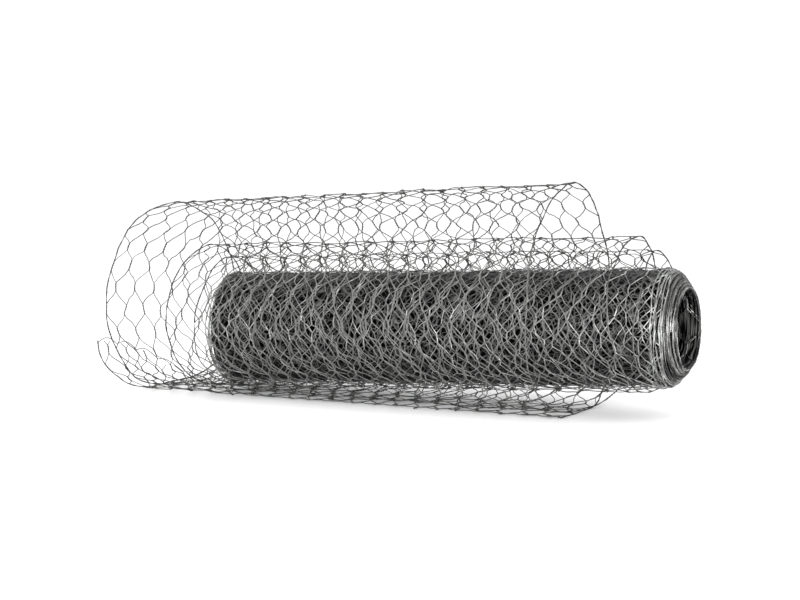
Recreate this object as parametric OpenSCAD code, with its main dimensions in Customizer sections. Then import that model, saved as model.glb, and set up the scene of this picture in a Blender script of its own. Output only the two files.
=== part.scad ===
// Roll of hexagonal wire netting lying on a level floor.
// Most of the netting is wound tight into a roll with an open bore. Its last three turns have
// sprung open around the roll, and the free end lies on the floor underneath with one corner curled up.
// The frame is +X along the roll, +Y behind it and +Z up. The origin is on the floor, under the
// middle of the wound roll.

/* [Netting] */
// Width of the netting, which is the length of the roll (mm)
netting_w = 500; // [300:10:1000]
// Thickness of one layer: two wires twisted together (mm)
layer_t = 1.8; // [1:0.1:2.4]
// Clearance between the layers that lie flat on each other under the roll (mm)
layer_clear = 0.7; // [0.5:0.1:2]

/* [Wound roll] */
// Outer radius of the tightly wound turns (mm)
roll_r = 62.5; // [50:0.5:110]
// Radius of the open bore (mm)
bore_r = 40; // [20:0.5:44]
// Number of steps that the wound turns show at each end
turn_steps = 12; // [4:1:24]
// How far the innermost turn has slid out past the outermost (mm)
telescope = 28; // [0:1:60]
// How the slide builds up over the turns at the right end: 1 makes a straight cone, less a round shoulder
shoulder = 0.5; // [0.3:0.1:1]
// The same at the left end: 1 makes a straight cone, more keeps the outer turns level with each other
dish = 2; // [1:0.5:4]
// Height of the roll above the floor at its right end, where the springy layers hold it up (mm)
lift_right = 29; // [12:0.5:50]

/* [Outer loose turn] */
// How far the outer loose turn has slid to the left (mm)
outer_slide = 86; // [0:1:120]
// How much further the free end has slid to the left (mm)
end_slide = 4; // [0:1:30]
// Space between the roll and the outer turn, above the roll, left end (mm)
outer_top_left = 75; // [60:1:120]
// The same at the right end (mm)
outer_top_right = 84; // [60:1:120]
// Space between the roll and the outer turn, in front, left end (mm)
outer_front_left = 68; // [64:1:120]
// The same at the right end (mm)
outer_front_right = 104; // [64:1:120]
// How far above the roll's axis the outer turn reaches furthest forward, left end (mm)
outer_rise_left = 36; // [0:1:50]
// The same at the right end (mm)
outer_rise_right = 12; // [0:1:50]
// Space between the roll and the outer turn, behind, left end (mm)
outer_back_left = 90; // [30:1:120]
// The same at the right end (mm)
outer_back_right = 34; // [30:1:120]

/* [Middle and inner loose turns] */
// How far the middle loose turn has slid to the left (mm)
middle_slide = 24; // [0:1:60]
// Space between the roll and the middle turn above (mm)
middle_top = 30; // [26:1:50]
// Space between the roll and the middle turn in front, left end (mm)
middle_front_left = 46; // [30:1:58]
// The same at the right end (mm)
middle_front_right = 42; // [30:1:58]
// How far above the roll's axis the middle turn reaches furthest forward (mm)
middle_rise = 10; // [0:1:30]
// Space between the roll and the middle turn behind (mm)
middle_back = 20; // [14:1:26]
// How far the inner loose turn has slid to the left (mm)
inner_slide = 6; // [0:1:30]
// Space between the roll and the inner turn above (mm)
inner_top = 16; // [10:1:24]
// Space between the roll and the inner turn in front (mm)
inner_front = 22; // [12:1:26]
// Space between the roll and the inner turn behind (mm)
inner_back = 9; // [6:1:11]

/* [Free end] */
// Width of the flat stretch that rests on the floor, in front of the axis (mm)
rest_front = 34; // [20:1:50]
// Width of the flat stretch that rests on the floor, behind the axis (mm)
rest_back = 20; // [10:1:40]
// How far the free end stays outside the outer turn (mm)
end_clear = 10; // [6:1:20]
// Angle through which the cut end curls up from the floor (degrees)
edge_curl = 12; // [5:1:25]
// Angle through which its left corner curls up (degrees)
corner_curl = 88; // [25:1:89]
// Length of the curled corner along the cut end (mm)
corner_len = 150; // [60:5:250]

/* [Hidden] */
$fn = 64;

galvanised = [0.53, 0.54, 0.54];

// Under the roll lie three layers: the free end on the floor, the outer turn on top of it, and the
// middle turn close under the roll. The roll's left end presses them together.
layer_pitch = layer_t + layer_clear;
FREE_END = 0;
OUTER = 1;
MIDDLE = 2;
lift_left = 3 * layer_pitch;

// The slope of the roll's axis, which rises from the left end to the right, and its height halfway.
roll_tilt = asin((lift_right - lift_left) / netting_w);
roll_mid_z = roll_r + (lift_left + lift_right) / 2;

function mix(a, b, u) = a + (b - a) * u;
// Height of the roll's underside, axis and top at the share u of the width, from left to right.
function lift(u) = mix(lift_left, lift_right, u);
function axis_z(u) = lift(u) + roll_r;
function layer_z(layer, u) = layer_t / 2 + (layer == MIDDLE ? lift(u) - layer_pitch : layer * layer_pitch);

// A station is a place where a loose turn runs level or upright: [y, z, slide to the left].
function front_station(gap, rise, slide, u) = [-roll_r - gap, axis_z(u) + rise, slide];
function back_station(gap, slide, u) = [roll_r + gap, axis_z(u), slide];
function top_station(gap, y, slide, u) = [y, axis_z(u) + roll_r + gap, slide];
function under_station(y, layer, slide, u) = [y, layer_z(layer, u), slide];

// The outer turn leans back at its left end and forward at its right end.
outer_front = [outer_front_left, outer_front_right];
outer_back = [outer_back_left, outer_back_right];
outer_top = [outer_top_left, outer_top_right];
outer_rise = [outer_rise_left, outer_rise_right];
middle_front = [middle_front_left, middle_front_right];
function at(pair, u) = mix(pair[0], pair[1], u);
function outer_lean(u) = at(outer_back - outer_front, u) / 2;

// The share of the change in slide that the netting has made by the time it is behind the roll.
back_share = 0.85;

// All stations, from the free end in front of the roll, under it, up behind it and round to the roll.
function stations(u) = [
    front_station(at(outer_front, u) + end_clear, 0, outer_slide + end_slide, u),
    under_station(-rest_front, FREE_END, outer_slide + end_slide, u),
    under_station(rest_back, FREE_END, outer_slide, u),
    back_station(at(outer_back, u), outer_slide, u),
    top_station(at(outer_top, u), outer_lean(u), outer_slide, u),
    front_station(at(outer_front, u), at(outer_rise, u), outer_slide, u),
    under_station(-rest_front / 2, OUTER, outer_slide, u),
    under_station(rest_back / 2, OUTER, outer_slide, u),
    back_station(middle_back, mix(outer_slide, middle_slide, back_share), u),
    top_station(middle_top, -middle_back / 2, middle_slide, u),
    front_station(at(middle_front, u), middle_rise, middle_slide, u),
    under_station(-rest_front / 3, MIDDLE, inner_slide, u),
    under_station(rest_back / 3, MIDDLE, inner_slide, u),
    back_station(inner_back, inner_slide, u),
    top_station(inner_top, -inner_back / 2, inner_slide, u),
    front_station(inner_front, 0, inner_slide / 2, u),
];
// The kind of curve from each station to the next: a quarter ellipse that starts upright or one that
// starts level, or a straight stretch along the floor.
UPRIGHT = 0;
LEVEL = 1;
STRAIGHT = 2;
kinds = [UPRIGHT, STRAIGHT, LEVEL, UPRIGHT, LEVEL, UPRIGHT, STRAIGHT, LEVEL, UPRIGHT, LEVEL, UPRIGHT,
         STRAIGHT, LEVEL, UPRIGHT, LEVEL];

// The point at the share t of the curve from station p to station q.
function on_curve(kind, p, q, t) =
    let (slide = mix(p[2], q[2], t))
    kind == UPRIGHT ? [q[0] + (p[0] - q[0]) * cos(90 * t), p[1] + (q[1] - p[1]) * sin(90 * t), slide]
    : kind == LEVEL ? [p[0] + (q[0] - p[0]) * sin(90 * t), q[1] + (p[1] - q[1]) * cos(90 * t), slide]
    : [mix(p[0], q[0], t), mix(p[1], q[1], t), slide];

// The cut end starts part of the way down the first curve: near the floor, and higher at the corner,
// which stays up over most of its length before it falls to the floor.
function corner_share(u) = pow(sin(90 * max(0, 1 - u * netting_w / corner_len)), 0.6);
function start_share(u) = 1 - mix(edge_curl, corner_curl, corner_share(u)) / 90;

// From the last station the netting dips below the roll's surface and becomes part of the roll. There
// it has slid a little to the right, as the turns around it have.
dip_angle = 60;
dip_depth = 5;
dip_slide = 6;
function dip(u, t) =
    let (r = mix(roll_r + inner_front, roll_r - dip_depth, t), a = 180 + dip_angle * t)
    [r * cos(a), axis_z(u) + r * sin(a), mix(inner_slide / 2, -dip_slide, t)];

curve_steps = 7;
function path(u) =
    let (s = stations(u), first = start_share(u))
    [
        for (i = [0 : len(kinds) - 1])
            let (steps = kinds[i] == STRAIGHT ? 1 : curve_steps, from = i == 0 ? first : 0)
            for (k = [0 : steps - 1]) on_curve(kinds[i], s[i], s[i + 1], mix(from, 1, k / steps)),
        for (k = [0 : curve_steps]) dip(u, k / curve_steps),
    ];

// The direction across the layer at each point of a path, in the plane square to the roll.
function across(line, i) =
    let (a = line[max(i - 1, 0)], b = line[min(i + 1, len(line) - 1)],
         d = [b[0] - a[0], b[1] - a[1]])
    [d[1], -d[0]] / norm(d);

// One face of the netting: the path set off by a distance, at each of the places along the width.
width_steps = 8;
corner_places = [0, 0.25, 0.5, 0.75, 1];
places = concat([for (c = corner_places) c * corner_len / netting_w],
                [for (i = [1 : width_steps]) mix(corner_len / netting_w, 1, i / width_steps)]);
function face_points(offset_by) = [
    for (u = places)
        let (line = path(u))
        for (i = [0 : len(line) - 1])
            let (n = across(line, i), p = line[i])
            [mix(-netting_w / 2, netting_w / 2, u) - p[2], p[0] + offset_by * n[0], p[1] + offset_by * n[1]]
];

module loose_turns() {
    rows = len(places);
    cols = len(path(0));
    outer = face_points(layer_t / 2);
    inner = face_points(-layer_t / 2);
    total = rows * cols;
    outer_faces = [
        for (r = [0 : rows - 2], c = [0 : cols - 2])
            let (a = r * cols + c, b = a + cols)
            each [[a, b + 1, a + 1], [a, b, b + 1]]
    ];
    inner_faces = [for (f = outer_faces) [f[2] + total, f[1] + total, f[0] + total]];
    end_faces = [
        for (r = [0 : rows - 2], c = [0, cols - 1])
            let (a = r * cols + c, b = a + cols, q = [a, b, b + total, a + total])
            each c == 0 ? [[q[2], q[1], q[0]], [q[3], q[2], q[0]]]
            : [[q[0], q[1], q[2]], [q[0], q[2], q[3]]]
    ];
    side_faces = [
        for (c = [0 : cols - 2], r = [0, rows - 1])
            let (a = r * cols + c, b = a + 1, q = [a, b, b + total, a + total])
            each r == 0 ? [[q[0], q[1], q[2]], [q[0], q[2], q[3]]]
            : [[q[2], q[1], q[0]], [q[3], q[2], q[0]]]
    ];
    polyhedron(
        points = concat(outer, inner),
        faces = concat(outer_faces, inner_faces, end_faces, side_faces),
        convexity = 12
    );
}

// The tight turns as one solid with its bore. Each step of the profile is a band of turns that has
// slid a little further out than the band around it.
module wound_roll() {
    band = (roll_r - bore_r) / turn_steps;
    depth = [for (i = [0 : turn_steps - 1]) i / (turn_steps - 1)];
    right = [
        for (i = [0 : turn_steps - 1])
            let (x = netting_w / 2 + telescope * pow(depth[i], shoulder))
            each [[roll_r - i * band, x], [roll_r - (i + 1) * band, x]]
    ];
    left = [
        for (i = [turn_steps - 1 : -1 : 0])
            let (x = -netting_w / 2 + telescope * pow(depth[i], dish))
            each [[roll_r - (i + 1) * band, x], [roll_r - i * band, x]]
    ];
    translate([0, 0, roll_mid_z])
        rotate([0, 90 - roll_tilt, 0])
            rotate_extrude() polygon(concat(right, left));
}

module netting_roll() {
    color(galvanised) union() {
        wound_roll();
        loose_turns();
    }
}

netting_roll();
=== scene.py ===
"""Roll of galvanised hexagonal wire netting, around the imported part's frame.

The netting is one sheet. guide_sheet() lays that sheet out along the rolled path of the part's
source, as a bare surface that carries flat coordinates. netting_tree() weaves the wires in those flat
coordinates, as straight strands that are twisted in pairs, and bends them onto the guide.
"""

import math

import bpy
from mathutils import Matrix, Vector


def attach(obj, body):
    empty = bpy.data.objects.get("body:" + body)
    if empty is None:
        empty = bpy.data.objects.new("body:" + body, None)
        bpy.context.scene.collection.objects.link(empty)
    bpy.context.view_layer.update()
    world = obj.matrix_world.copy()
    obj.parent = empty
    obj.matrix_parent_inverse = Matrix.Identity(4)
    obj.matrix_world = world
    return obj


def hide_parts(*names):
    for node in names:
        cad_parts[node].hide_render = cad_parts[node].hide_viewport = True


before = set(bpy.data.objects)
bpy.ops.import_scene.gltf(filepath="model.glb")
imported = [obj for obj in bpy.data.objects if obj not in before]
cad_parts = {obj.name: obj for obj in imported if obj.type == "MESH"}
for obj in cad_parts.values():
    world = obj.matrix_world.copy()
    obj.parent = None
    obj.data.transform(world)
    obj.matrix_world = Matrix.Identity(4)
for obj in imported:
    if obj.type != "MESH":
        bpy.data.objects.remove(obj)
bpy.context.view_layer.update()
MM = 0.001

# ---------------------------------------------------------------- sizes of the netting, in metres
NETTING_W = 500 * MM
MESH = 25 * MM            # between two parallel twists of one row
ROW_PITCH = 26 * MM       # from one row of twists to the next, along the netting
TWIST_LEN = 12 * MM
TWIST_TURNS = 2           # full turns that the two wires of a pair take round each other
WIRE_R = 0.45 * MM
WIRE_SIDES = 4            # flat sides of each wire
BORDER_WIRES = 3          # along each edge, twisted together; the first and third lie in the same place

# ---------------------------------------------------------------- sizes of the roll, as in the part
ROLL_R = 62.5 * MM
BORE_R = 40 * MM
TELESCOPE = 28 * MM
SHOULDER = 0.5            # how soon the slide builds up from turn to turn, at the right end
DISH = 2                  # and at the left end
LIFT = (7.5 * MM, 29 * MM)
TURN_PITCH = 0.9 * MM
PACKED_IN = 4 * MM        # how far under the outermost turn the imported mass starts
OUTER_SLIDE = 86 * MM
END_SLIDE = 4 * MM
OUTER_TOP = (75 * MM, 84 * MM)
OUTER_FRONT = (68 * MM, 104 * MM)
OUTER_RISE = (36 * MM, 12 * MM)
OUTER_BACK = (90 * MM, 34 * MM)
MIDDLE_SLIDE = 24 * MM
MIDDLE_TOP = 30 * MM
MIDDLE_FRONT = (46 * MM, 42 * MM)
MIDDLE_RISE = 10 * MM
MIDDLE_BACK = 20 * MM
INNER_SLIDE = 6 * MM
INNER_TOP = 16 * MM
INNER_FRONT = 22 * MM
INNER_BACK = 9 * MM
REST_FRONT = 34 * MM
REST_BACK = 20 * MM
END_CLEAR = 10 * MM
EDGE_CURL = 12            # degrees that the cut end curls up from the floor
CORNER_CURL = 88          # and its left corner
CORNER_LEN = 150 * MM
LAYER_T = 1.8 * MM
LAYER_PITCH = LIFT[0] / 3 # three layers lie under the roll's left end
BACK_SHARE = 0.85         # of the change in slide that is made by the time the netting is behind the roll


# ---------------------------------------------------------------- camera
def aim(obj, target):
    obj.rotation_euler = (Vector(target) - obj.location).to_track_quat("-Z", "Y").to_euler()


def make_camera():
    azimuth, elevation, distance = math.radians(24.5), math.radians(5.8), 2.066
    data = bpy.data.cameras.new("camera")
    data.lens = 86.9
    data.sensor_width = 36
    camera = bpy.data.objects.new("camera", data)
    bpy.context.scene.collection.objects.link(camera)
    toward = Vector((math.sin(azimuth) * math.cos(elevation),
                     -math.cos(azimuth) * math.cos(elevation), math.sin(elevation)))
    right = Vector((math.cos(azimuth), math.sin(azimuth), 0))
    up = toward.cross(right)
    roll_middle = Vector((0, 0, 0.09))
    camera.location = roll_middle + toward * distance
    look_left, look_up = 0.041, 0.0196
    aim(camera, roll_middle - right * look_left + up * look_up)
    bpy.context.scene.camera = camera


make_camera()


# ---------------------------------------------------------------- the rolled path, by the part's rule
def mix(a, b, t):
    return a + (b - a) * t


def lift(u):
    return mix(*LIFT, u)


def axis_z(u):
    return lift(u) + ROLL_R


FREE_END, OUTER, MIDDLE = range(3)


def layer_z(layer, u):
    return LAYER_T / 2 + (lift(u) - LAYER_PITCH if layer == MIDDLE else layer * LAYER_PITCH)


def stations(u):
    """(y, z, slide to the left) where the loose turns run upright or level, from the free end in."""
    front = lambda gap, rise, slide: (-ROLL_R - gap, axis_z(u) + rise, slide)
    back = lambda gap, slide: (ROLL_R + gap, axis_z(u), slide)
    top = lambda gap, y, slide: (y, axis_z(u) + ROLL_R + gap, slide)
    under = lambda y, layer, slide: (y, layer_z(layer, u), slide)
    lean = mix(OUTER_BACK[0] - OUTER_FRONT[0], OUTER_BACK[1] - OUTER_FRONT[1], u) / 2
    return [
        front(mix(*OUTER_FRONT, u) + END_CLEAR, 0, OUTER_SLIDE + END_SLIDE),
        under(-REST_FRONT, FREE_END, OUTER_SLIDE + END_SLIDE),
        under(REST_BACK, FREE_END, OUTER_SLIDE),
        back(mix(*OUTER_BACK, u), OUTER_SLIDE),
        top(mix(*OUTER_TOP, u), lean, OUTER_SLIDE),
        front(mix(*OUTER_FRONT, u), mix(*OUTER_RISE, u), OUTER_SLIDE),
        under(-REST_FRONT / 2, OUTER, OUTER_SLIDE),
        under(REST_BACK / 2, OUTER, OUTER_SLIDE),
        back(MIDDLE_BACK, mix(OUTER_SLIDE, MIDDLE_SLIDE, BACK_SHARE)),
        top(MIDDLE_TOP, -MIDDLE_BACK / 2, MIDDLE_SLIDE),
        front(mix(*MIDDLE_FRONT, u), MIDDLE_RISE, MIDDLE_SLIDE),
        under(-REST_FRONT / 3, MIDDLE, INNER_SLIDE),
        under(REST_BACK / 3, MIDDLE, INNER_SLIDE),
        back(INNER_BACK, INNER_SLIDE),
        top(INNER_TOP, -INNER_BACK / 2, INNER_SLIDE),
        front(INNER_FRONT, 0, INNER_SLIDE / 2),
    ]


UPRIGHT, LEVEL, STRAIGHT = range(3)
KINDS = [UPRIGHT, STRAIGHT, LEVEL, UPRIGHT, LEVEL, UPRIGHT, STRAIGHT, LEVEL, UPRIGHT, LEVEL, UPRIGHT,
         STRAIGHT, LEVEL, UPRIGHT, LEVEL]


def on_curve(kind, p, q, t):
    """The share t of a quarter ellipse that starts upright or level, or of a straight stretch."""
    c, s = math.cos(t * math.pi / 2), math.sin(t * math.pi / 2)
    slide = mix(p[2], q[2], t)
    if kind == UPRIGHT:
        return (q[0] + (p[0] - q[0]) * c, p[1] + (q[1] - p[1]) * s, slide)
    if kind == LEVEL:
        return (p[0] + (q[0] - p[0]) * s, q[1] + (p[1] - q[1]) * c, slide)
    return (mix(p[0], q[0], t), mix(p[1], q[1], t), slide)


def start_share(u):
    corner = math.sin(math.pi / 2 * max(0, 1 - max(u, 0) * NETTING_W / CORNER_LEN)) ** 0.6
    return 1 - mix(EDGE_CURL, CORNER_CURL, corner) / 90


CURVE_STEPS = 24
STRAIGHT_STEPS = 6
DIP_ANGLE = 60            # over which the netting sinks from its last station onto the roll
WOUND_STEP = 4            # degrees between two points of the wound turns


def curve_points(kind):
    return STRAIGHT_STEPS if kind == STRAIGHT else CURVE_STEPS


def loose_path(u):
    s = stations(u)
    points = []
    for i, kind in enumerate(KINDS):
        steps = curve_points(kind)
        first = start_share(u) if i == 0 else 0
        points += [on_curve(kind, s[i], s[i + 1], mix(first, 1, k / steps)) for k in range(steps)]
    return points


def wound_slide(radius, u):
    """How far a wound turn has slid to the right: the inner turns furthest, the outer ones less at the
    left end than at the right, because their cells are drawn a little wider."""
    depth = max(0, (ROLL_R - radius) / (ROLL_R - BORE_R))
    return TELESCOPE * mix(depth ** DISH, depth ** SHOULDER, u)


def wound_path(u):
    """The turns from the last loose one inwards, one TURN_PITCH less in radius each time round."""
    points = []
    outermost, innermost = ROLL_R - WIRE_R, BORE_R + WIRE_R
    angle = 0
    radius = ROLL_R + INNER_FRONT
    while radius > innermost:
        dip = min(1, angle / DIP_ANGLE)
        turned = max(0, angle - DIP_ANGLE) / 360
        radius = mix(ROLL_R + INNER_FRONT, outermost, dip * dip * (3 - 2 * dip)) - turned * TURN_PITCH
        a = math.radians(180 + angle)
        slide = INNER_SLIDE / 2 * (1 - dip) - wound_slide(radius, u)
        points.append((radius * math.cos(a), axis_z(u) + radius * math.sin(a), slide))
        angle += WOUND_STEP
    return points


def guide_sheet():
    """The sheet as a bare surface. "flat" holds each point's place across and along the netting when
    it is unrolled, in metres, and "out" the direction out of the sheet. The sheet goes a little past
    both edges, because the mesh is pushed about and may reach over them."""
    corner = CORNER_LEN / NETTING_W
    at_corner = [corner * k / 6 for k in range(7)]
    past_corner = [mix(corner, 1, k / 4) for k in range(1, 5)]
    shares = [-0.03] + at_corner + past_corner + [1.03]
    rows = [loose_path(u) + wound_path(u) for u in shares]
    count = len(rows[0])
    gap = lambda row, j: math.dist(row[j][:2], row[j + 1][:2])
    along = [0] * count
    for j in range(CURVE_STEPS, count - 1):
        along[j + 1] = along[j] + sum(gap(row, j) for row in rows) / len(rows)
    points, flat, out = [], [], []
    for u, row in zip(shares, rows):
        own = list(along)
        for j in range(CURVE_STEPS - 1, -1, -1):
            own[j] = own[j + 1] - gap(row, j)
        for j, (y, z, slide) in enumerate(row):
            a, b = row[max(j - 1, 0)], row[min(j + 1, count - 1)]
            across = Vector((0, b[1] - a[1], a[0] - b[0])).normalized()
            points.append((mix(-NETTING_W / 2, NETTING_W / 2, u) - slide, y, z))
            flat.append((u * NETTING_W, own[j]))
            out.append(across)
    faces = [(r * count + c, (r + 1) * count + c, (r + 1) * count + c + 1, r * count + c + 1)
             for r in range(len(shares) - 1) for c in range(count - 1)]
    mesh = bpy.data.meshes.new("guide_sheet")
    mesh.from_pydata(points, [], faces)
    layer = mesh.attributes.new("flat", "FLOAT2", "CORNER")
    for loop in mesh.loops:
        layer.data[loop.index].vector = flat[loop.vertex_index]
    outward = mesh.attributes.new("out", "FLOAT_VECTOR", "POINT")
    for i, v in enumerate(out):
        outward.data[i].vector = v
    guide = bpy.data.objects.new("guide_sheet", mesh)
    bpy.context.scene.collection.objects.link(guide)
    return guide, along, min(f[1] for f in flat)


# ---------------------------------------------------------------- materials
def linear(hex_colour):
    """A six-digit sRGB colour as linear RGBA."""
    channels = [int(hex_colour[i:i + 2], 16) / 255 for i in (0, 2, 4)]
    return tuple(c / 12.92 if c <= 0.04045 else ((c + 0.055) / 1.055) ** 2.4 for c in channels) + (1,)


def add(tree, kind, settings=None, links=None):
    """Adds a node with its settings, which are properties or socket values, and its input links."""
    node = tree.nodes.new(kind)
    for key, value in (settings or {}).items():
        if isinstance(key, str) and hasattr(node, key):
            setattr(node, key, value)
        else:
            node.inputs[key].default_value = value
    for key, socket in (links or {}).items():
        tree.links.new(socket, node.inputs[key])
    return node


def roll_coords(tree, coords):
    """A point's place in the wound roll: along the floor, how far out from the roll's axis, and its
    turn round the axis, in radians."""
    place = add(tree, "ShaderNodeSeparateXYZ", {}, {"Vector": coords}).outputs
    slope = (LIFT[1] - LIFT[0]) / NETTING_W
    axis = add(tree, "ShaderNodeMath", {"operation": "MULTIPLY_ADD", 1: slope, 2: axis_z(0.5)}, {
        0: place["X"]})
    above = add(tree, "ShaderNodeMath", {"operation": "SUBTRACT"}, {0: place["Z"], 1: axis.outputs[0]})
    flat = add(tree, "ShaderNodeCombineXYZ", {}, {"X": place["Y"], "Y": above.outputs[0]})
    radius = add(tree, "ShaderNodeVectorMath", {"operation": "LENGTH"}, {0: flat.outputs[0]})
    turn = add(tree, "ShaderNodeMath", {"operation": "ARCTAN2"}, {0: above.outputs[0], 1: place["Y"]})
    return place["X"], radius.outputs["Value"], turn.outputs[0]


def depth_share(tree, radius, deep, shallow):
    """How near a point is to the outside of the roll: 0 at the radius deep, 1 at the radius shallow."""
    share = add(tree, "ShaderNodeMapRange", {"From Min": deep, "From Max": shallow}, {
        "Value": radius}).outputs["Result"]
    return add(tree, "ShaderNodeMath", {"operation": "POWER", 1: 2}, {0: share}).outputs[0]


def end_share(tree, x):
    """How near a point is to the roll's two ends, where the edges of all turns lie open: 1 there."""
    off = add(tree, "ShaderNodeMath", {"operation": "ABSOLUTE"}, {0: x}).outputs[0]
    near = add(tree, "ShaderNodeMapRange", {
        "From Min": NETTING_W / 2 - 10 * MM, "From Max": NETTING_W / 2}, {"Value": off})
    return near.outputs["Result"]


def ring_streaks(tree, x, radius, turn):
    """Streaks that run round the roll: some turns' edges are brighter than others, and each of them
    brightens and dulls again on its way round."""
    around = add(tree, "ShaderNodeMath", {"operation": "MULTIPLY", 1: 1.2 * MM}, {0: turn})
    place = add(tree, "ShaderNodeCombineXYZ", {}, {"X": x, "Y": radius, "Z": around.outputs[0]})
    streaks = add(tree, "ShaderNodeTexNoise", {"Scale": 1 / (1.6 * MM), "Detail": 2}, {
        "Vector": place.outputs[0]})
    return streaks.outputs["Fac"]


def front_share(tree, x, radius, turn):
    """How near a point is to the front of the loose turns, where they stand before the roll: 1 there."""
    loose = add(tree, "ShaderNodeMapRange", {"From Min": ROLL_R + 1 * MM, "From Max": ROLL_R + 15 * MM}, {
        "Value": radius})
    off = add(tree, "ShaderNodeMath", {"operation": "ABSOLUTE"}, {0: turn}).outputs[0]
    level = add(tree, "ShaderNodeMapRange", {"From Min": 2.5, "From Max": 2.7}, {"Value": off})
    inward = add(tree, "ShaderNodeMapRange", {
        "From Min": -NETTING_W / 2 + 10 * MM, "From Max": -NETTING_W / 2 + 40 * MM}, {"Value": x})
    inside = add(tree, "ShaderNodeMath", {"operation": "MULTIPLY"}, {
        0: loose.outputs["Result"], 1: inward.outputs["Result"]})
    return add(tree, "ShaderNodeMath", {"operation": "MULTIPLY"}, {
        0: level.outputs["Result"], 1: inside.outputs[0]}).outputs[0]


PAINTED_SHADE = "040404"       # painted shade: near black, for the gaps between wires that lie packed on each other and for wire deep in the roll


def galvanised_steel(name, dull, clean, rough_range, deep=None, ringed=False, painted_front_light=None, edge=1):
    """Hot-dip galvanised steel wire. It was drawn and then dipped in zinc, which gives it a smooth
    grey skin, a little patchy, that has gone duller and darker in places. Wire that lies at the radius
    deep or further in is painted near black, except at the roll's open ends: painted shade, for the light
    that the turns over it keep out. Ringed wire goes round the ends of the roll, and each turn of it has
    weathered on its own. The front colour is painted light: the loose turns' front, where it faces the
    front soft box, is set to this lighter colour. Edge is how bright the wire is at a glancing view:
    matt oxide takes the shine off there."""
    material = bpy.data.materials.new(name)
    material.use_nodes = True
    tree = material.node_tree
    shader = tree.nodes["Principled BSDF"]
    shader.inputs["Metallic"].default_value = 1
    shader.inputs["Specular Tint"].default_value = (edge, edge, edge, 1)
    coords = add(tree, "ShaderNodeTexCoord").outputs["Object"]
    x, radius, turn = roll_coords(tree, coords)
    if ringed:
        patches = ring_streaks(tree, x, radius, turn)
    else:
        patches = add(tree, "ShaderNodeTexNoise", {"Scale": 1 / (9 * MM), "Detail": 3}, {
            "Vector": coords}).outputs["Fac"]
    colour = add(tree, "ShaderNodeValToRGB", {}, {"Fac": patches})
    colour.color_ramp.elements[0].position = 0.42 if ringed else 0.35
    colour.color_ramp.elements[0].color = linear(dull)
    colour.color_ramp.elements[1].position = 0.62 if ringed else 0.7
    colour.color_ramp.elements[1].color = linear(clean)
    skin = colour.outputs["Color"]
    # Painted shade: wire at the radius deep or further in is mixed towards near black, but not near the
    # roll's open ends.
    if deep is not None:
        shown = add(tree, "ShaderNodeMath", {"operation": "MAXIMUM"}, {
            0: depth_share(tree, radius, deep, ROLL_R - 0.5 * MM), 1: end_share(tree, x)}).outputs[0]
        skin = add(tree, "ShaderNodeMix", {"data_type": "RGBA", 6: linear(PAINTED_SHADE)}, {
            0: shown, 7: skin}).outputs[2]
    # Painted light: the loose turns' front, which faces the front soft box, is mixed to a lighter colour.
    if painted_front_light is not None:
        skin = add(tree, "ShaderNodeMix", {"data_type": "RGBA", 7: linear(painted_front_light)}, {
            0: front_share(tree, x, radius, turn), 6: skin}).outputs[2]
    tree.links.new(skin, shader.inputs["Base Color"])
    rough = add(tree, "ShaderNodeMapRange", {"To Min": rough_range[0], "To Max": rough_range[1]}, {
        "Value": patches})
    tree.links.new(rough.outputs["Result"], shader.inputs["Roughness"])
    return material


def packed_netting():
    """The same wire where many turns lie packed on each other: dull wires in every direction over
    dark gaps, which are painted shade. Each layer of the net is drawn as bright lines, finer and dimmer
    the deeper it lies; the dimming is painted shade too."""
    material = bpy.data.materials.new("packed_galvanised_netting")
    material.use_nodes = True
    tree = material.node_tree
    shader = tree.nodes["Principled BSDF"]
    coords = add(tree, "ShaderNodeTexCoord").outputs["Object"]
    wires = None
    # The second layer lies deeper and is drawn at half brightness: painted shade.
    for layer, (cell, dim) in enumerate(((9 * MM, 1), (7 * MM, 0.5))):
        placed = add(tree, "ShaderNodeMapping", {"Location": (layer * 0.37, layer * 0.11, 0)}, {
            "Vector": coords})
        net = add(tree, "ShaderNodeTexVoronoi", {"feature": "DISTANCE_TO_EDGE", "Scale": 1 / cell}, {
            "Vector": placed.outputs["Vector"]})
        line = add(tree, "ShaderNodeMapRange", {
            "From Min": 0.02, "From Max": 0.07, "To Min": dim, "To Max": 0}, {
            "Value": net.outputs["Distance"]})
        if wires is None:
            wires = line.outputs["Result"]
        else:
            wires = add(tree, "ShaderNodeMath", {"operation": "MAXIMUM"}, {
                0: wires, 1: line.outputs["Result"]}).outputs[0]
    x, radius, turn = roll_coords(tree, coords)
    rings = add(tree, "ShaderNodeMapRange", {"From Min": 0.45, "From Max": 0.62}, {
        "Value": ring_streaks(tree, x, radius, turn)}).outputs["Result"]
    on_skin = depth_share(tree, radius, ROLL_R - PACKED_IN - 2 * MM, ROLL_R - PACKED_IN - 1 * MM)
    wires = add(tree, "ShaderNodeMix", {"data_type": "FLOAT"}, {0: on_skin, 2: rings, 3: wires}).outputs[0]
    # Near black between the lines: painted shade for the light that the packed turns keep out.
    skin = add(tree, "ShaderNodeMix", {
        "data_type": "RGBA", 6: linear(PAINTED_SHADE), 7: linear("6c6c6b")}, {0: wires}).outputs[2]
    tree.links.new(skin, shader.inputs["Base Color"])
    shader.inputs["Metallic"].default_value = 1
    shader.inputs["Roughness"].default_value = 0.6
    bump = add(tree, "ShaderNodeBump", {"Strength": 1, "Distance": WIRE_R}, {"Height": wires})
    tree.links.new(bump.outputs["Normal"], shader.inputs["Normal"])
    return material


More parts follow.
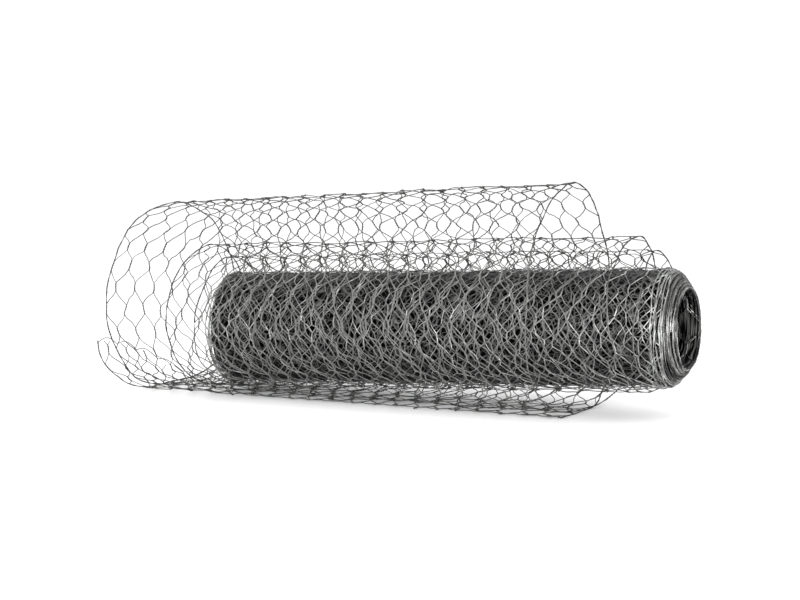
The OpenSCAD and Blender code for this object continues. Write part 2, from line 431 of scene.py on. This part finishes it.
# ---------------------------------------------------------------- weaving the netting
class Amount:
    """A number that the nodes of a tree work out, so that a formula reads as ordinary arithmetic."""

    def __init__(self, tree, socket):
        self.tree = tree
        self.socket = socket

    def through(self, operation, *others):
        node = add(self.tree, "ShaderNodeMath", {"operation": operation})
        for place, value in zip(node.inputs, (self, *others)):
            if isinstance(value, Amount):
                self.tree.links.new(value.socket, place)
            else:
                place.default_value = value
        return Amount(self.tree, node.outputs[0])

    def __add__(self, other):
        return self.through("ADD", other)

    def __sub__(self, other):
        return self.through("SUBTRACT", other)

    def __rsub__(self, other):
        return self * -1 + other

    def __mul__(self, other):
        return self.through("MULTIPLY", other)

    def __truediv__(self, other):
        return self.through("DIVIDE", other)

    def clamped(self):
        """The number kept between 0 and 1."""
        return self.through("MAXIMUM", 0).through("MINIMUM", 1)


def netting_tree():
    """Geometry nodes that weave rows of netting and bend them onto the guide sheet.

    Each wire runs along the netting. In one row it is twisted with its left neighbour, in the next with
    its right one, and between them it slants half a mesh across. The border wires stay at the edge."""
    tree = bpy.data.node_groups.new("weave_netting", "GeometryNodeTree")
    face = tree.interface
    face.new_socket("Geometry", in_out="OUTPUT", socket_type="NodeSocketGeometry")
    for name, kind in (("Guide", "NodeSocketObject"), ("First row", "NodeSocketInt"),
                       ("Rows", "NodeSocketInt"), ("Wires", "NodeSocketInt"),
                       ("Border wires", "NodeSocketInt"), ("Twist steps", "NodeSocketInt"),
                       ("Slant steps", "NodeSocketInt"), ("Sides", "NodeSocketInt"),
                       ("Twist turns", "NodeSocketFloat"), ("Mesh", "NodeSocketFloat"),
                       ("Row pitch", "NodeSocketFloat"), ("Twist length", "NodeSocketFloat"),
                       ("Wire radius", "NodeSocketFloat"), ("Ripple", "NodeSocketFloat"),
                       ("Skew", "NodeSocketFloat"), ("Edge wires", "NodeSocketInt"),
                       ("Wire", "NodeSocketMaterial")):
        face.new_socket(name, in_out="INPUT", socket_type=kind)
    given = {socket.name: Amount(tree, socket) for socket in tree.nodes.new("NodeGroupInput").outputs}

    # One straight strand for each wire, with a point for each step of its weave.
    steps = given["Twist steps"] + given["Slant steps"]
    strand = add(tree, "GeometryNodeCurvePrimitiveLine")
    strand = add(tree, "GeometryNodeResampleCurve", {}, {
        "Curve": strand.outputs["Curve"], "Count": (given["Rows"] * steps + 1).socket})
    strand_count = given["Wires"] + given["Border wires"] * 2
    starts = add(tree, "GeometryNodeMeshLine", {}, {"Count": strand_count.socket})
    index = Amount(tree, add(tree, "GeometryNodeInputIndex").outputs["Index"])
    numbered = add(tree, "GeometryNodeStoreNamedAttribute", {
        "data_type": "FLOAT", "domain": "POINT", "Name": "wire"}, {
        "Geometry": starts.outputs["Mesh"], "Value": (index - given["Border wires"]).socket})
    strands = add(tree, "GeometryNodeInstanceOnPoints", {}, {
        "Points": numbered.outputs["Geometry"], "Instance": strand.outputs["Curve"]})
    strands = add(tree, "GeometryNodeRealizeInstances", {}, {"Geometry": strands.outputs["Instances"]})

    # Only the wires near the two edges are kept where the stretch asks for that.
    wire = add(tree, "GeometryNodeInputNamedAttribute", {"data_type": "FLOAT", "Name": "wire"})
    wire = Amount(tree, wire.outputs["Attribute"])
    past_low = wire.through("GREATER_THAN", given["Edge wires"] - 0.5)
    before_high = wire.through("LESS_THAN", given["Wires"] - given["Edge wires"] - 0.5)
    strands = add(tree, "GeometryNodeDeleteGeometry", {"domain": "CURVE"}, {
        "Geometry": strands.outputs["Geometry"], "Selection": (past_low * before_high).socket})

    # Where each point is in the weave: its row, and its share of the twist and of the slant after it.
    step = Amount(tree, add(tree, "GeometryNodeSplineParameter").outputs["Index"])
    row = ((step + 0.01) / steps).through("FLOOR") + given["First row"]
    in_row = step - (row - given["First row"]) * steps
    twist = (in_row / given["Twist steps"]).clamped()
    slant = ((in_row - given["Twist steps"]) / given["Slant steps"]).clamped()
    side = (wire + row).through("FLOORED_MODULO", 2)
    bent = slant * slant * (3 - slant * 2)
    shift = mix(side, 1 - side, mix(slant, bent, 0.5))
    turn = twist * (given["Twist turns"] * (2 * math.pi))

    # Flat coordinates: across the netting, along it, and out of it.
    column = (wire + shift).through("MAXIMUM", 0).through("MINIMUM", given["Wires"])
    apart = given["Wire radius"] * 1.04
    across = given["Mesh"] * 0.5 * column + (1 - shift * 2) * apart * turn.through("COSINE")
    bulge = (1 - side * 2) * apart * turn.through("SINE")
    twist_part = given["Twist length"] / given["Row pitch"]
    along = (row + (twist_part * twist + (1 - twist_part) * slant)) * given["Row pitch"]

    # Handling has pushed the cells out of square: slow noise skews them and ripples the sheet.
    place = add(tree, "ShaderNodeCombineXYZ", {}, {"X": across.socket, "Y": along.socket})

    def noise(size):
        node = add(tree, "ShaderNodeTexNoise", {"Scale": 1 / size, "Detail": 1}, {
            "Vector": place.outputs[0]})
        split = add(tree, "ShaderNodeSeparateXYZ", {}, {"Vector": node.outputs["Color"]})
        return [Amount(tree, output) - 0.5 for output in split.outputs]

    # The border wires hold the edges straighter than the mesh between them.
    width = given["Mesh"] * 0.5 * given["Wires"]
    to_edge = across.through("MINIMUM", width - across)
    slack = (to_edge / given["Mesh"]).clamped() * 0.8 + 0.2
    small, large = noise(22 * MM), noise(90 * MM)
    small = [amount * slack for amount in small]
    across = across + given["Skew"] * (small[0] + large[0] * 1.5)
    along = along + given["Skew"] * (small[1] + large[1] * 1.5)
    height = bulge + given["Ripple"] * (small[2] + large[2])
    spot = add(tree, "ShaderNodeCombineXYZ", {}, {"X": across.socket, "Y": along.socket}).outputs[0]

    # Onto the guide sheet.
    guide = add(tree, "GeometryNodeObjectInfo", {}, {"Object": given["Guide"].socket}).outputs["Geometry"]
    flat = add(tree, "GeometryNodeInputNamedAttribute", {"data_type": "FLOAT_VECTOR", "Name": "flat"})
    out = add(tree, "GeometryNodeInputNamedAttribute", {"data_type": "FLOAT_VECTOR", "Name": "out"})

    def sampled(value):
        return add(tree, "GeometryNodeSampleUVSurface", {"data_type": "FLOAT_VECTOR"}, {
            "Mesh": guide, "Value": value, "Source UV Map": flat.outputs["Attribute"], "Sample UV": spot})

    on_sheet = sampled(add(tree, "GeometryNodeInputPosition").outputs[0])
    outward = add(tree, "ShaderNodeVectorMath", {"operation": "SCALE"}, {
        "Vector": sampled(out.outputs["Attribute"]).outputs["Value"], "Scale": height.socket})
    raised = add(tree, "ShaderNodeVectorMath", {"operation": "ADD"}, {
        0: on_sheet.outputs["Value"], 1: outward.outputs[0]})
    floor = add(tree, "ShaderNodeCombineXYZ", {"X": -10, "Y": -10}, {"Z": given["Wire radius"].socket})
    final = add(tree, "ShaderNodeVectorMath", {"operation": "MAXIMUM"}, {
        0: raised.outputs[0], 1: floor.outputs[0]})
    off_sheet = add(tree, "FunctionNodeBooleanMath", {"operation": "NOT"}, {
        0: on_sheet.outputs["Is Valid"]})
    marked = add(tree, "GeometryNodeStoreNamedAttribute", {
        "data_type": "BOOLEAN", "domain": "POINT", "Name": "off_sheet"}, {
        "Geometry": strands.outputs["Geometry"], "Value": off_sheet.outputs[0]})
    laid = add(tree, "GeometryNodeSetPosition", {}, {
        "Geometry": marked.outputs["Geometry"], "Position": final.outputs[0]})
    past = add(tree, "GeometryNodeInputNamedAttribute", {"data_type": "BOOLEAN", "Name": "off_sheet"})
    trimmed = add(tree, "GeometryNodeDeleteGeometry", {"domain": "POINT"}, {
        "Geometry": laid.outputs["Geometry"], "Selection": past.outputs["Attribute"]})
    # A wire with few sides is set a little larger, so that it covers as much as the round one.
    profile = add(tree, "GeometryNodeCurvePrimitiveCircle", {}, {
        "Resolution": given["Sides"].socket, "Radius": (given["Wire radius"] * 1.1).socket})
    wires = add(tree, "GeometryNodeCurveToMesh", {"Fill Caps": True}, {
        "Curve": trimmed.outputs["Geometry"], "Profile Curve": profile.outputs["Curve"]})
    smooth = add(tree, "GeometryNodeSetShadeSmooth", {}, {"Geometry": wires.outputs["Mesh"]})
    whole = add(tree, "GeometryNodeRealizeInstances", {}, {"Geometry": smooth.outputs["Geometry"]})
    painted = add(tree, "GeometryNodeSetMaterial", {}, {
        "Geometry": whole.outputs["Geometry"], "Material": given["Wire"].socket})
    add(tree, "NodeGroupOutput", {}, {"Geometry": painted.outputs["Geometry"]})
    return tree


def woven(name, tree, values):
    """A stretch of netting as a plain mesh."""
    holder = bpy.data.objects.new(name + "_weave", bpy.data.meshes.new(name + "_weave"))
    bpy.context.scene.collection.objects.link(holder)
    weave = holder.modifiers.new("weave", "NODES")
    weave.node_group = tree
    for socket in tree.interface.items_tree:
        if socket.in_out == "INPUT" and socket.name in values:
            weave[socket.identifier] = values[socket.name]
    bpy.context.view_layer.update()
    seen = holder.evaluated_get(bpy.context.evaluated_depsgraph_get())
    mesh = bpy.data.meshes.new_from_object(seen)
    holder.modifiers.remove(weave)
    bpy.data.objects.remove(holder)
    mesh.name = name
    piece = bpy.data.objects.new(name, mesh)
    bpy.context.scene.collection.objects.link(piece)
    return piece


def packed_turns():
    """The turns between the ones that are woven wire by wire: wound so tight that they are one closed
    mass, with the profile of the roll, a little inside its outermost and innermost turns."""
    inset = 1.5 * MM
    outer, inner = ROLL_R - PACKED_IN, BORE_R + PACKED_IN / 2
    radii = [mix(outer, inner, k / 8) for k in range(9)]
    right = [(r, NETTING_W / 2 + wound_slide(r, 1) - inset) for r in radii]
    left = [(r, -NETTING_W / 2 + wound_slide(r, 0) + inset) for r in reversed(radii)]
    lengthwise = 24
    skin = [(outer, mix(left[-1][1], right[0][1], k / lengthwise)) for k in range(1, lengthwise)]
    bore = [(inner, mix(right[-1][1], left[0][1], k / lengthwise)) for k in range(1, lengthwise)]
    profile = skin + right + bore + left
    around = 96
    tilt = math.asin((LIFT[1] - LIFT[0]) / NETTING_W)
    points = []
    for a in range(around):
        angle = 2 * math.pi * a / around
        for r, x in profile:
            lump = 0.5 * MM * (math.sin(5 * angle + 40 * x) + math.sin(11 * angle - 90 * x))
            y, z = (r + lump) * math.cos(angle), (r + lump) * math.sin(angle)
            points.append((x * math.cos(tilt) - z * math.sin(tilt), y,
                           axis_z(0.5) + x * math.sin(tilt) + z * math.cos(tilt)))
    n = len(profile)
    faces = [(a * n + k, (a + 1) % around * n + k, (a + 1) % around * n + (k + 1) % n, a * n + (k + 1) % n)
             for a in range(around) for k in range(n)]
    mesh = bpy.data.meshes.new("packed_turns")
    mesh.from_pydata(points, [], faces)
    mesh.materials.append(packed_netting())
    mesh.shade_smooth()
    piece = bpy.data.objects.new("packed_turns", mesh)
    bpy.context.scene.collection.objects.link(piece)
    return piece


def end_wire(material):
    """The wire that runs along the cut end from edge to edge, in an arc over each mesh."""
    curve = bpy.data.curves.new("free_end_wire", "CURVE")
    curve.dimensions = "3D"
    curve.bevel_depth = WIRE_R
    curve.bevel_resolution = 1
    curve.use_fill_caps = True
    count = round(NETTING_W / MESH) * 10
    spline = curve.splines.new("POLY")
    spline.points.add(count)
    for k, point in enumerate(spline.points):
        u = k / count
        s = stations(u)
        dip = 0.05 * (1 - abs(math.sin(math.pi * u * NETTING_W / MESH)))
        y, z, slide = on_curve(KINDS[0], s[0], s[1], start_share(u) + dip)
        point.co = (mix(-NETTING_W / 2, NETTING_W / 2, u) - slide, y, z, 1)
    holder = bpy.data.objects.new("free_end_wire_path", curve)
    bpy.context.scene.collection.objects.link(holder)
    bpy.context.view_layer.update()
    seen = holder.evaluated_get(bpy.context.evaluated_depsgraph_get())
    mesh = bpy.data.meshes.new_from_object(seen)
    bpy.data.objects.remove(holder)
    mesh.materials.clear()
    mesh.materials.append(material)
    mesh.shade_smooth()
    piece = bpy.data.objects.new("free_end_wire", mesh)
    bpy.context.scene.collection.objects.link(piece)
    return piece


def finish_piece(piece):
    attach(piece, "root")
    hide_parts("netting_roll")


def make_netting():
    guide, along, start = guide_sheet()
    tree = netting_tree()
    # The loose and the wound wire are one and the same wire: the loose turns' colours are set darker and
    # the wound turns' lighter, painted shade on the loose turns, seen on their unlit side against the
    # bright wall, and painted light on the wound turns, lit by the front soft box.
    wire = galvanised_steel("galvanised_wire", "484948", "7a7b79", (0.8, 0.65), painted_front_light="828381", edge=0.3)
    wound_wire = galvanised_steel("galvanised_wire_wound_tight", "8c8d8c", "dcdddb", (0.6, 0.4),
                                  deep=ROLL_R - 4.8 * MM, painted_front_light="828381")
    rim_wire = galvanised_steel("galvanised_wire_at_the_ends", "0c0d0c", "b4b5b3", (0.5, 0.35),
                                ringed=True)
    bore_wire = galvanised_steel("galvanised_wire_in_the_bore", "2c2d2c", "d2d3d1", (0.5, 0.35),
                                 ringed=True)
    # A turn ends where the next one starts to run under the roll, and the inner one at its last station.
    station_at = [sum(curve_points(kind) for kind in KINDS[:i]) for i in range(len(KINDS) + 1)]
    outer_end, middle_end, inner_end = (along[station_at[i]] for i in (6, 11, 15))
    turn_len = 2 * math.pi * ROLL_R
    skin_end = inner_end + 3.2 * turn_len
    second_end = skin_end + 2.8 * turn_len
    wound_end = along[-1]
    bore_start = wound_end - 2.6 * 2 * math.pi * BORE_R
    row = lambda s: math.floor(s / ROW_PITCH)
    every = round(NETTING_W / MESH * 2)
    # Two turns in four steps draw a twist as a zigzag, to save triangles away from the outer turns.
    stretches = [
        # name, from, to, twist steps, slant steps, ripple, skew, wires kept at each edge, wire
        ("loose_outer_turn", start - ROW_PITCH, outer_end, 10, 3, 7 * MM, 11 * MM, every, wire),
        ("loose_middle_turn", outer_end, middle_end, 10, 3, 6 * MM, 11 * MM, every, wire),
        ("loose_inner_turn", middle_end, inner_end, 10, 3, 6 * MM, 11 * MM, every, wire),
        ("wound_outer_turns", inner_end, skin_end, 8, 2, 3.5 * MM, 12 * MM, every, wound_wire),
        ("wound_second_turns", skin_end, second_end, 4, 2, 2 * MM, 12 * MM, every, wound_wire),
        ("wound_turn_edges", second_end, bore_start, 4, 2, 1 * MM, 4 * MM, 4, rim_wire),
        ("bore_turns", bore_start, wound_end, 4, 2, 1 * MM, 6 * MM, every, bore_wire),
    ]
    for name, first, last, twist_steps, slant_steps, ripple, skew, edge, metal in stretches:
        piece = woven(name, tree, {
            "Guide": guide, "First row": row(first), "Rows": row(last) - row(first), "Wires": every,
            "Border wires": BORDER_WIRES, "Twist steps": twist_steps, "Slant steps": slant_steps,
            "Sides": WIRE_SIDES, "Twist turns": float(TWIST_TURNS), "Mesh": MESH, "Row pitch": ROW_PITCH,
            "Twist length": TWIST_LEN, "Wire radius": WIRE_R, "Ripple": ripple, "Skew": skew,
            "Edge wires": edge, "Wire": metal})
        finish_piece(piece)
    bpy.data.objects.remove(guide)
    finish_piece(end_wire(wire))
    finish_piece(packed_turns())


make_netting()


# ---------------------------------------------------------------- floor, backdrop and light
def plain_surface(name, hex_colour):
    """Matt studio paper: white and even, with no shine."""
    material = bpy.data.materials.new(name)
    material.use_nodes = True
    shader = material.node_tree.nodes["Principled BSDF"]
    shader.inputs["Base Color"].default_value = linear(hex_colour)
    shader.inputs["Roughness"].default_value = 0.9
    return material


def make_floor():
    half = 40
    corners = [(-half, -half, 0), (half, -half, 0), (half, half, 0), (-half, half, 0)]
    mesh = bpy.data.meshes.new("studio_floor")
    mesh.from_pydata(corners, [], [(0, 1, 2, 3)])
    mesh.materials.append(plain_surface("studio_paper", "fafafa"))
    floor = bpy.data.objects.new("studio_floor", mesh)
    bpy.context.scene.collection.objects.link(floor)


def soft_box(name, place, size, watts):
    data = bpy.data.lights.new(name, "AREA")
    data.shape = "DISK"
    data.size = size
    data.energy = watts
    light = bpy.data.objects.new(name, data)
    light.location = place
    bpy.context.scene.collection.objects.link(light)
    aim(light, (0, 0, 0.08))


def make_light():
    """A white wall behind the netting, a dimmer room in front of it, and three soft boxes."""
    soft_box("front_softbox", (0.3, -2.5, 0.6), 0.8, 95)
    soft_box("side_softbox", (2.4, -0.7, 0.5), 0.6, 30)
    soft_box("overhead_softbox", (0.2, 0.2, 2.6), 1.8, 4)
    world = bpy.data.worlds.new("studio")
    world.use_nodes = True
    tree = world.node_tree
    direction = add(tree, "ShaderNodeTexCoord").outputs["Generated"]
    behind = add(tree, "ShaderNodeVectorMath", {"operation": "DOT_PRODUCT", 1: (0, 0.6, 0.8)}, {
        0: direction})
    wall = add(tree, "ShaderNodeMapRange", {
        "From Min": -0.2, "From Max": 0.4, "To Min": 0.1, "To Max": 1.28}, {
        "Value": behind.outputs["Value"]})
    background = tree.nodes["Background"]
    background.inputs["Color"].default_value = linear("ffffff")
    tree.links.new(wall.outputs["Result"], background.inputs["Strength"])
    bpy.context.scene.world = world
    bpy.context.scene.view_settings.view_transform = "Standard"


make_floor()
make_light()
